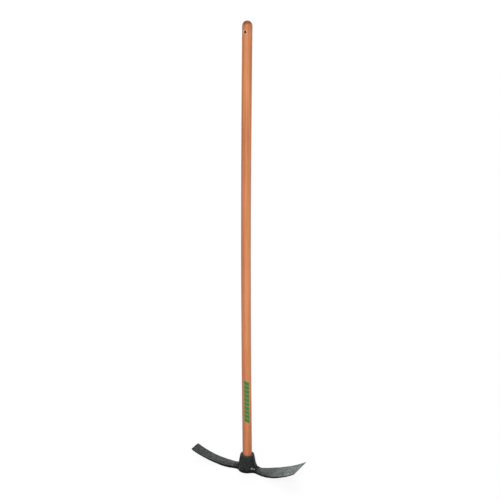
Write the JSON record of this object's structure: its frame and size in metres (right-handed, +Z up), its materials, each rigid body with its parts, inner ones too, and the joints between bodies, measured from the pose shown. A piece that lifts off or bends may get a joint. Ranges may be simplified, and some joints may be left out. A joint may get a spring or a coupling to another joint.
{
  "type": "grub hoe",
  "caption": "Long-handled digging hoe: a forged head with a wide blade on one side of a round tapered eye and a narrow blade on the other, wedged on a straight wooden handle.",
  "frame": {"origin": "on the handle's axis in the plane of the eye's foot, where the handle's butt is flush", "axes": "+Z up the handle to the grip end, +X out along the wide blade, -X along the narrow blade, Y along the cutting edges"},
  "size_m": [0.3643, 0.083, 1.3716],
  "materials": {
    "head_paint": "dark grey satin paint over a forged surface, worn at the blades' edges",
    "handle_wood": "orange-red stained and lacquered straight-grained hardwood, satin",
    "wedge_wood": "bare pale hardwood, sawn flush",
    "wedge_steel": "bright rolled steel, hammered flush"
  },
  "bodies": {
    "root": {"hoe_head": "head_paint", "handle": "handle_wood", "kerf_wedge": "wedge_wood", "steel_wedge_narrow_side": "wedge_steel", "steel_wedge_wide_side": "wedge_steel"}
  },
  "joints": []
}
